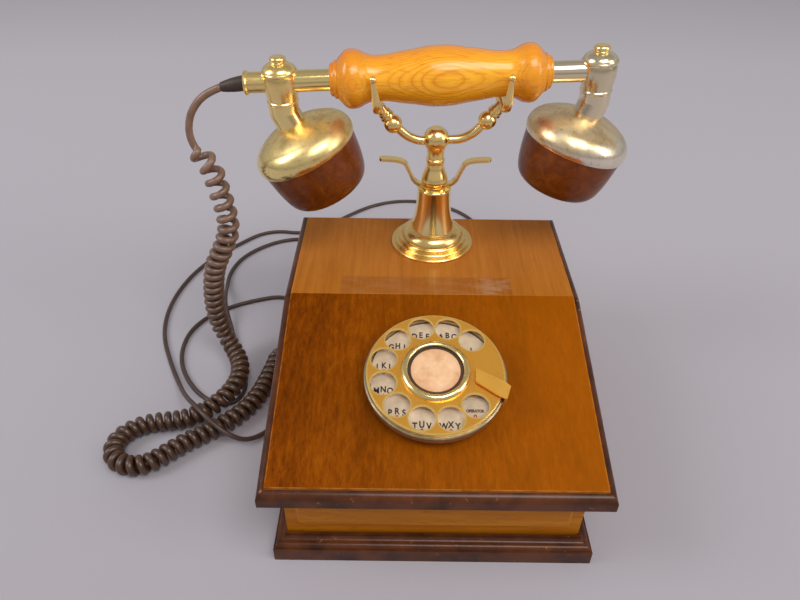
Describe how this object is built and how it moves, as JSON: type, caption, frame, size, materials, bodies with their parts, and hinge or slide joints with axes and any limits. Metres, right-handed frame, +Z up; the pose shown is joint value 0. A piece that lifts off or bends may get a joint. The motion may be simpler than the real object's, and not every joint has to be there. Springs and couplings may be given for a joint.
{
  "type": "rotary telephone",
  "caption": "Wooden desk telephone with a sloping lid, a brass rotary dial, a turned handset that lies across a sprung brass cradle, a curly handset cord and a line cord.",
  "frame": {"origin": "middle of the plinth's underside, where the telephone stands", "axes": "+Z up, -Y towards the person who dials, +X to that person's right"},
  "size_m": [0.3317, 0.408, 0.2286],
  "materials": {
    "veneer": "amber veneer under a worn gloss varnish, straight grain",
    "wall_wood": "amber-brown varnished wood, raised field",
    "dark_wood": "dark reddish-brown stained moulding, glossy, worn at the arrises",
    "inner_wood": "plain unfinished board",
    "handle_wood": "honey-orange turned wood under a thick gloss varnish",
    "brass": "polished brass, a little worn",
    "worn_brass": "brass with its polish worn and pitted",
    "nickel_brass": "brass plating worn to silver grey",
    "brown_cup": "dark red-brown mottled glossy plastic",
    "dial_grey": "satin grey metal",
    "number_plate": "light grey enamel with black letters and red digits",
    "card": "cream card inside a dark grey-brown ring",
    "steel": "plain steel",
    "gong_metal": "nickel-plated gong",
    "coil_winding": "varnished copper winding",
    "board": "brown circuit board with its components",
    "insulator": "dark insulating board and leaf springs",
    "rubber": "dark brown rubber",
    "curly_cord": "brown curly cord",
    "line_cord": "dark brown flexible line cord"
  },
  "bodies": {
    "base": {"plinth_moulding": "dark_wood", "lid_moulding": "dark_wood", "front_wall": "wall_wood", "rear_wall": "wall_wood", "left_wall": "wall_wood", "right_wall": "wall_wood", "lid_board": "inner_wood", "front_panel": "veneer", "rear_panel": "veneer", "base_plate": "inner_wood", "base_screws": "steel", "cord_glands": "rubber", "dial_case": "dial_grey", "number_plate": "number_plate", "finger_stop": "brass", "dial_contacts": "insulator", "column_flange": "worn_brass", "column_tube": "brass", "carrying_yoke": "brass", "guide_bush": "brass", "gongs": "gong_metal", "ringer_frame": "steel", "ringer_coils": "coil_winding", "hook_bracket": "steel", "hook_springs": "insulator", "circuit_board": "board", "handset_cord_floor": "curly_cord", "line_cord": "line_cord", "line_cord_coil": "line_cord", "line_plug": "rubber"},
    "cradle": {"cradle_post": "brass", "cradle_plunger": "steel", "left_arm": "brass", "right_arm": "brass", "cradle_forks": "brass"},
    "handset": {"handle": "handle_wood", "handset_tubes": "brass", "finials": "brass", "elbows": "brass", "left_fitting": "brass", "right_fitting": "nickel_brass", "left_bell": "worn_brass", "right_bell": "worn_brass", "left_cup": "brown_cup", "right_cup": "brown_cup", "cup_grilles": "brass", "left_capsule": "insulator", "right_capsule": "insulator", "cord_collar": "brass", "cord_relief": "rubber", "handset_cord_hanging": "curly_cord"},
    "hook_lever": {"hook_lever": "steel"},
    "dial": {"finger_wheel": "brass", "centre_ring": "brass", "dial_card": "card", "dial_shaft": "steel"},
    "pulse_cam": {"pulse_cam": "steel"},
    "governor": {"governor": "steel"},
    "clapper": {"clapper": "steel"}
  },
  "joints": [
    {"name": "cradle_rise", "type": "slide", "parent": "base", "child": "cradle", "axis": [0, 0, 1], "range_m": [0, 0.004], "stiffness_N_per_m": 200, "springref_m": 0.006},
    {"name": "handset_lift", "type": "slide", "parent": "cradle", "child": "handset", "axis": [0, 0, 1], "range_m": [0, 0.12], "deforming": ["handset_cord_hanging"]},
    {"name": "hook_tilt", "type": "hinge", "parent": "base", "child": "hook_lever", "pos_m": [0.0175, 0.076, 0.06965], "axis": [0, 1, 0], "range_deg": [-1, 14.5]},
    {"name": "dial_turn", "type": "hinge", "parent": "base", "child": "dial", "pos_m": [0, -0.0463, 0.07947], "axis": [0, 0.247, -0.969], "range_deg": [0, 323], "stiffness_Nm_per_rad": 0.004, "springref_deg": -85.94},
    {"name": "pulse_spin", "type": "hinge", "parent": "base", "child": "pulse_cam", "pos_m": [0, -0.02305, 0.08539], "axis": [0, 0.247, -0.969], "range_deg": [-1300, 5]},
    {"name": "governor_spin", "type": "hinge", "parent": "base", "child": "governor", "pos_m": [0, -0.06801, 0.07393], "axis": [0, 0.247, -0.969], "range_deg": [-1950, 5]},
    {"name": "clapper_swing", "type": "hinge", "parent": "base", "child": "clapper", "pos_m": [0, 0.007, 0.048], "axis": [0, 0, 1], "range_deg": [-2, 2], "stiffness_Nm_per_rad": 0.002}
  ],
  "couplings": [
    {"joint": "hook_tilt", "follows": "cradle_rise", "rad_per_m": 60},
    {"joint": "pulse_spin", "follows": "dial_turn", "ratio": -4},
    {"joint": "governor_spin", "follows": "dial_turn", "ratio": -6}
  ]
}
